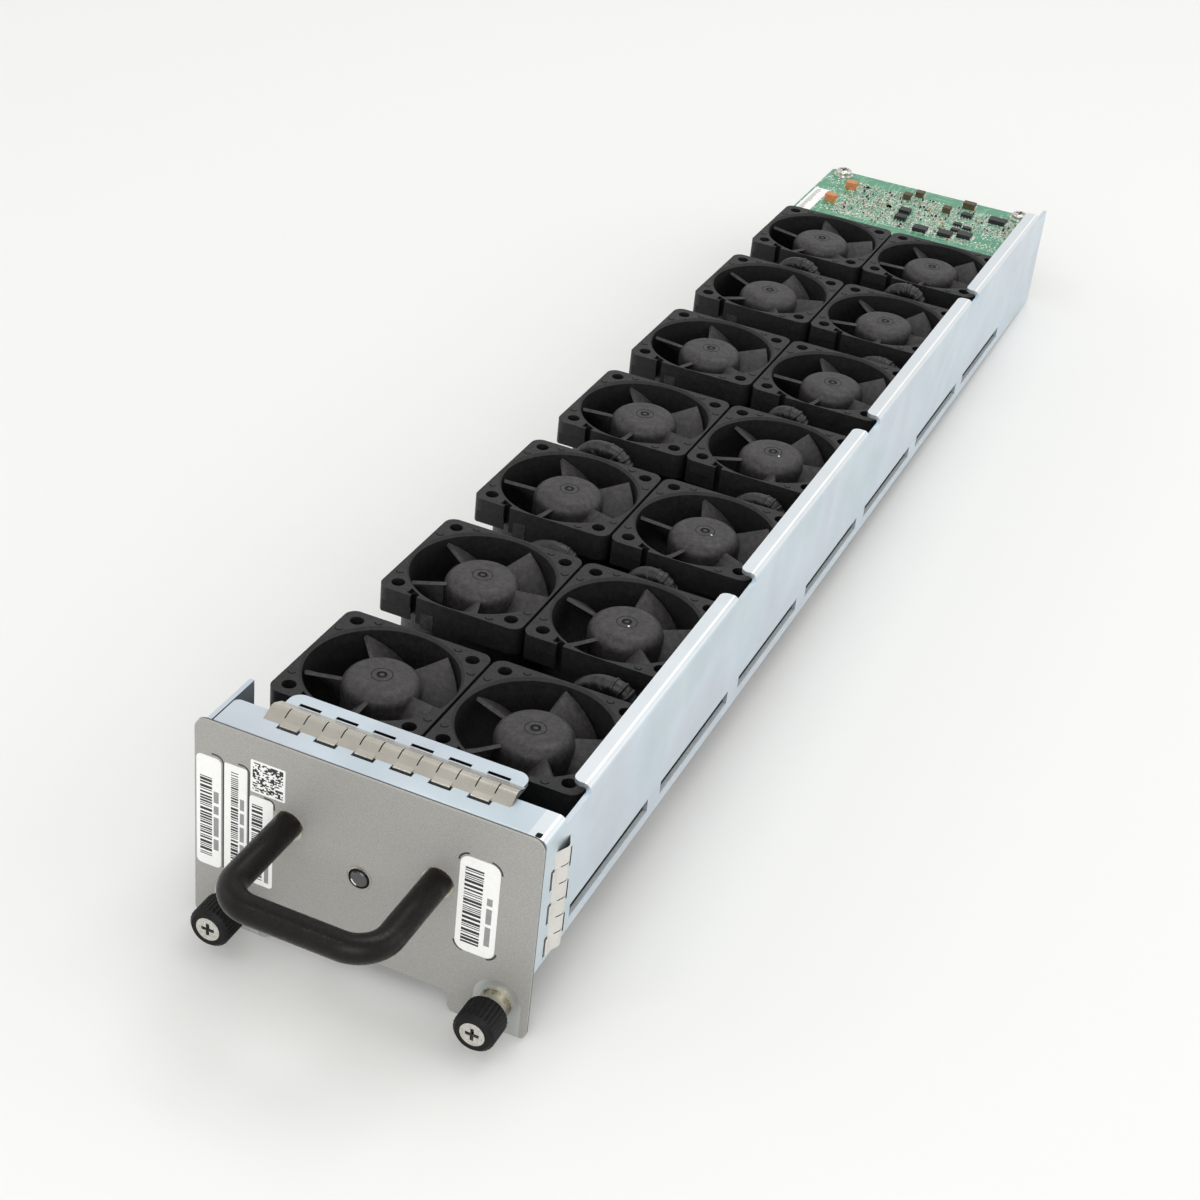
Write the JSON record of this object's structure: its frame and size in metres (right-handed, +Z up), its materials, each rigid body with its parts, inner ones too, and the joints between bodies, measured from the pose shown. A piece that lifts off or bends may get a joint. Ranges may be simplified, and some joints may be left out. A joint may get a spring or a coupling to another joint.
{
  "type": "fan tray",
  "caption": "Slide-in fan tray: small axial fans stand in two columns on a sheet-metal deck behind a panel with pull handle and captive thumbscrews; control board at the rear.",
  "frame": {"origin": "bottom centre of the bounding box: middle of width and length, level with the panel ears' lower edge", "axes": "+X to the right seen from the front panel, +Y from the front panel to the rear, +Z up through the fans"},
  "size_m": [0.089, 0.4683, 0.0584],
  "materials": {
    "zinc_sheet": "clear zinc-plated sheet steel",
    "panel_paint": "warm grey satin paint",
    "handle_finish": "black satin coating",
    "plated_screw": "bright zinc",
    "lamp_lens": "smoked lens, off",
    "finger_metal": "satin nickel-plated spring metal",
    "nickel": "nickel plate",
    "knob_plastic": "black nylon, knurled",
    "spring_steel": "drawn steel",
    "solder_mask": "green solder mask",
    "chip_epoxy": "black epoxy",
    "capacitor": "orange resin",
    "choke": "brown resin",
    "connector_plastic": "black nylon",
    "header_plastic": "natural nylon",
    "contact_metal": "gold-plated",
    "bearing_bronze": "sintered bronze",
    "winding": "enamelled copper coils",
    "sleeve": "black heat-shrink sleeve",
    "fan_plastic": "black glass-filled plastic",
    "rotor_plastic": "dark grey moulded plastic"
  },
  "bodies": {
    "tray": {"side_shell": "zinc_sheet", "fan_deck": "zinc_sheet", "front_bracket": "zinc_sheet", "front_panel": "panel_paint", "handle": "handle_finish", "handle_screws": "plated_screw", "status_lamp": "lamp_lens", "top_gasket": "finger_metal", "side_gasket": "finger_metal", "thumbscrew_ferrules": "nickel", "thumbscrew_spring_left": "spring_steel", "thumbscrew_spring_right": "spring_steel", "control_board": "solder_mask", "board_standoffs": "nickel", "board_screws": "plated_screw", "board_chips": "chip_epoxy", "board_capacitors": "capacitor", "board_chokes": "choke", "rear_connector": "connector_plastic", "connector_contacts": "contact_metal", "fan_bearings": "bearing_bronze", "fan_windings": "winding", "fan_screws": "plated_screw", "fan_leads": "sleeve", "lead_plugs": "connector_plastic", "lead_headers": "header_plastic", "fan_frame_left_1": "fan_plastic", "fan_frame_right_1": "fan_plastic", "fan_frame_left_2": "fan_plastic", "fan_frame_right_2": "fan_plastic", "fan_frame_left_3": "fan_plastic", "fan_frame_right_3": "fan_plastic", "fan_frame_left_4": "fan_plastic", "fan_frame_right_4": "fan_plastic", "fan_frame_left_5": "fan_plastic", "fan_frame_right_5": "fan_plastic", "fan_frame_left_6": "fan_plastic", "fan_frame_right_6": "fan_plastic", "fan_frame_left_7": "fan_plastic", "fan_frame_right_7": "fan_plastic"},
    "impeller_left_1": {"fan_rotor_left_1": "rotor_plastic"},
    "impeller_right_1": {"fan_rotor_right_1": "rotor_plastic"},
    "impeller_left_2": {"fan_rotor_left_2": "rotor_plastic"},
    "impeller_right_2": {"fan_rotor_right_2": "rotor_plastic"},
    "impeller_left_3": {"fan_rotor_left_3": "rotor_plastic"},
    "impeller_right_3": {"fan_rotor_right_3": "rotor_plastic"},
    "impeller_left_4": {"fan_rotor_left_4": "rotor_plastic"},
    "impeller_right_4": {"fan_rotor_right_4": "rotor_plastic"},
    "impeller_left_5": {"fan_rotor_left_5": "rotor_plastic"},
    "impeller_right_5": {"fan_rotor_right_5": "rotor_plastic"},
    "impeller_left_6": {"fan_rotor_left_6": "rotor_plastic"},
    "impeller_right_6": {"fan_rotor_right_6": "rotor_plastic"},
    "impeller_left_7": {"fan_rotor_left_7": "rotor_plastic"},
    "impeller_right_7": {"fan_rotor_right_7": "rotor_plastic"},
    "stop_left": {"retaining_clip_left": "nickel"},
    "thumbscrew_left": {"thumbscrew_knob_left": "knob_plastic", "captive_screw_left": "plated_screw"},
    "stop_right": {"retaining_clip_right": "nickel"},
    "thumbscrew_right": {"thumbscrew_knob_right": "knob_plastic", "captive_screw_right": "plated_screw"}
  },
  "joints": [
    {"name": "spin_left_1", "type": "hinge", "parent": "tray", "child": "impeller_left_1", "pos_m": [-0.0212, -0.15715, 0.0513], "axis": [0, 0, 1], "continuous": true},
    {"name": "spin_right_1", "type": "hinge", "parent": "tray", "child": "impeller_right_1", "pos_m": [0.0196, -0.15715, 0.0513], "axis": [0, 0, 1], "continuous": true},
    {"name": "spin_left_2", "type": "hinge", "parent": "tray", "child": "impeller_left_2", "pos_m": [-0.0212, -0.10405, 0.0513], "axis": [0, 0, 1], "continuous": true},
    {"name": "spin_right_2", "type": "hinge", "parent": "tray", "child": "impeller_right_2", "pos_m": [0.0196, -0.10405, 0.0513], "axis": [0, 0, 1], "continuous": true},
    {"name": "spin_left_3", "type": "hinge", "parent": "tray", "child": "impeller_left_3", "pos_m": [-0.0212, -0.05095, 0.0513], "axis": [0, 0, 1], "continuous": true},
    {"name": "spin_right_3", "type": "hinge", "parent": "tray", "child": "impeller_right_3", "pos_m": [0.0196, -0.05095, 0.0513], "axis": [0, 0, 1], "continuous": true},
    {"name": "spin_left_4", "type": "hinge", "parent": "tray", "child": "impeller_left_4", "pos_m": [-0.0212, 0.00215, 0.0513], "axis": [0, 0, 1], "continuous": true},
    {"name": "spin_right_4", "type": "hinge", "parent": "tray", "child": "impeller_right_4", "pos_m": [0.0196, 0.00215, 0.0513], "axis": [0, 0, 1], "continuous": true},
    {"name": "spin_left_5", "type": "hinge", "parent": "tray", "child": "impeller_left_5", "pos_m": [-0.0212, 0.05525, 0.0513], "axis": [0, 0, 1], "continuous": true},
    {"name": "spin_right_5", "type": "hinge", "parent": "tray", "child": "impeller_right_5", "pos_m": [0.0196, 0.05525, 0.0513], "axis": [0, 0, 1], "continuous": true},
    {"name": "spin_left_6", "type": "hinge", "parent": "tray", "child": "impeller_left_6", "pos_m": [-0.0212, 0.10835, 0.0513], "axis": [0, 0, 1], "continuous": true},
    {"name": "spin_right_6", "type": "hinge", "parent": "tray", "child": "impeller_right_6", "pos_m": [0.0196, 0.10835, 0.0513], "axis": [0, 0, 1], "continuous": true},
    {"name": "spin_left_7", "type": "hinge", "parent": "tray", "child": "impeller_left_7", "pos_m": [-0.0212, 0.16145, 0.0513], "axis": [0, 0, 1], "continuous": true},
    {"name": "spin_right_7", "type": "hinge", "parent": "tray", "child": "impeller_right_7", "pos_m": [0.0196, 0.16145, 0.0513], "axis": [0, 0, 1], "continuous": true},
    {"name": "press_left", "type": "slide", "parent": "tray", "child": "stop_left", "axis": [0, 1, 0], "range_m": [0, 0.0035], "stiffness_N_per_m": 250, "deforming": ["thumbscrew_spring_left"]},
    {"name": "turn_left", "type": "hinge", "parent": "stop_left", "child": "thumbscrew_left", "pos_m": [-0.0332, -0.21415, 0.0083], "axis": [0, 1, 0], "continuous": true},
    {"name": "press_right", "type": "slide", "parent": "tray", "child": "stop_right", "axis": [0, 1, 0], "range_m": [0, 0.0035], "stiffness_N_per_m": 250, "deforming": ["thumbscrew_spring_right"]},
    {"name": "turn_right", "type": "hinge", "parent": "stop_right", "child": "thumbscrew_right", "pos_m": [0.0351, -0.21415, 0.0083], "axis": [0, 1, 0], "continuous": true}
  ]
}
